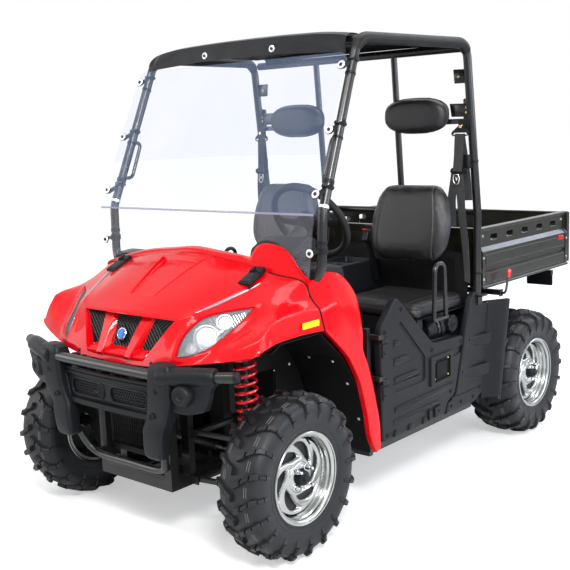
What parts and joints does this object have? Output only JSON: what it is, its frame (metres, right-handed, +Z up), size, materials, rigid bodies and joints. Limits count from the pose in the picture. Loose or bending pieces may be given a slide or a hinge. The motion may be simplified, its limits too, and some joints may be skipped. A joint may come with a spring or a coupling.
{
  "type": "side by side utility vehicle",
  "caption": "Side-by-side utility vehicle with roll cage, windshield, roof, half doors and a tipping cargo bed.",
  "frame": {"origin": "on the ground under the middle of the overall length, on the centre plane", "axes": "+X to the vehicle's left, +Y rearwards (the vehicle faces -Y), +Z up"},
  "size_m": [1.414, 2.7214, 1.9853],
  "materials": {
    "red_plastic": "gloss",
    "black_plastic": "satin",
    "black_paint": "gloss",
    "bed_paint": "satin",
    "tyre_rubber": "matte",
    "alloy": "polished",
    "clear_pane": "clear",
    "lamp_lens": "clear",
    "chrome": "polished",
    "vinyl": "satin",
    "engine_metal": "cast",
    "steel": "satin",
    "spring_red": "gloss",
    "black_rubber": "matte",
    "tank_plastic": "satin"
  },
  "bodies": {
    "vehicle": {"chassis_frame": "black_paint", "cowl": "red_plastic", "side_fenders": "red_plastic", "arch_liners": "black_plastic", "bumper_pads": "black_plastic", "front_bumper_bar": "black_paint", "bumper_panel": "black_plastic", "roll_cage": "black_paint", "windshield_upper": "clear_pane", "windshield_lower": "clear_pane", "windshield_clamps": "black_plastic", "roof": "black_plastic", "seat_cushions": "vinyl", "seat_backs": "vinyl", "headrests": "vinyl", "hip_loops": "black_paint", "floor_pan": "black_plastic", "seat_box": "black_plastic", "fuel_tank": "tank_plastic", "dashboard": "black_plastic", "console": "black_plastic", "steering_column": "black_paint", "side_panels": "black_plastic", "rear_lamps": "black_plastic", "bed_lever": "black_paint", "engine": "engine_metal", "driveline": "steel", "exhaust": "steel", "suspension_arms": "black_paint", "dampers": "black_paint", "springs": "spring_red", "radiator": "engine_metal"},
    "hood_body": {"hood": "red_plastic", "grille_mesh": "black_plastic", "lamp_lenses": "lamp_lens", "lamp_bowls": "chrome", "hood_hinges": "black_plastic"},
    "knuckle_left_body": {"knuckle_left": "engine_metal"},
    "knuckle_right_body": {"knuckle_right": "engine_metal"},
    "rack": {"tie_rods": "steel"},
    "steering_wheel_body": {"steering_wheel": "black_rubber"},
    "door_left_body": {"door_left": "black_plastic"},
    "door_right_body": {"door_right": "black_plastic"},
    "bed": {"bed_tub": "bed_paint"},
    "tailgate_body": {"tailgate": "bed_paint"},
    "wheel_front_left": {"tyre_front_left": "tyre_rubber", "rim_front_left": "alloy"},
    "wheel_front_right": {"tyre_front_right": "tyre_rubber", "rim_front_right": "alloy"},
    "wheel_rear_left": {"tyre_rear_left": "tyre_rubber", "rim_rear_left": "alloy"},
    "wheel_rear_right": {"tyre_rear_right": "tyre_rubber", "rim_rear_right": "alloy"}
  },
  "joints": [
    {"name": "steer_left", "type": "hinge", "parent": "vehicle", "child": "knuckle_left_body", "pos_m": [0.505, -0.9755, 0.3175], "axis": [0, 0, 1], "range_deg": [-28, 28]},
    {"name": "steer_right", "type": "hinge", "parent": "vehicle", "child": "knuckle_right_body", "pos_m": [-0.505, -0.9755, 0.3175], "axis": [0, 0, 1], "range_deg": [-28, 28]},
    {"name": "rack_slide", "type": "slide", "parent": "vehicle", "child": "rack", "axis": [1, 0, 0], "range_m": [-0.045, 0.045]},
    {"name": "steering_wheel_turn", "type": "hinge", "parent": "vehicle", "child": "steering_wheel_body", "pos_m": [0.33, -0.4635, 1.212], "axis": [0, 0.848, 0.5299], "range_deg": [-260, 260]},
    {"name": "hood_open", "type": "hinge", "parent": "vehicle", "child": "hood_body", "pos_m": [0, -0.8515, 1.122], "axis": [-1, 0, 0], "range_deg": [0, 50]},
    {"name": "door_left_open", "type": "hinge", "parent": "vehicle", "child": "door_left_body", "pos_m": [0.657, -0.4265, 0.64], "axis": [0, 0, -1], "range_deg": [0, 70]},
    {"name": "door_right_open", "type": "hinge", "parent": "vehicle", "child": "door_right_body", "pos_m": [-0.657, -0.4265, 0.64], "axis": [0, 0, 1], "range_deg": [0, 70]},
    {"name": "bed_tilt", "type": "hinge", "parent": "vehicle", "child": "bed", "pos_m": [0, 1.2995, 0.808], "axis": [-1, 0, 0], "range_deg": [0, 45]},
    {"name": "tailgate_open", "type": "hinge", "parent": "bed", "child": "tailgate_body", "pos_m": [0, 1.3505, 0.838], "axis": [-1, 0, 0], "range_deg": [0, 90]},
    {"name": "wheel_front_left_spin", "type": "hinge", "parent": "knuckle_left_body", "child": "wheel_front_left", "pos_m": [0.604, -0.9755, 0.3175], "axis": [1, 0, 0], "continuous": true},
    {"name": "wheel_front_right_spin", "type": "hinge", "parent": "knuckle_right_body", "child": "wheel_front_right", "pos_m": [-0.604, -0.9755, 0.3175], "axis": [1, 0, 0], "continuous": true},
    {"name": "wheel_rear_left_spin", "type": "hinge", "parent": "vehicle", "child": "wheel_rear_left", "pos_m": [0.5785, 0.8745, 0.3175], "axis": [1, 0, 0], "continuous": true},
    {"name": "wheel_rear_right_spin", "type": "hinge", "parent": "vehicle", "child": "wheel_rear_right", "pos_m": [-0.5785, 0.8745, 0.3175], "axis": [1, 0, 0], "continuous": true}
  ],
  "couplings": [
    {"joint": "steer_right", "follows": "steer_left", "ratio": 1},
    {"joint": "rack_slide", "follows": "steer_left", "m_per_rad": -0.0817},
    {"joint": "steering_wheel_turn", "follows": "steer_left", "ratio": 9}
  ]
}
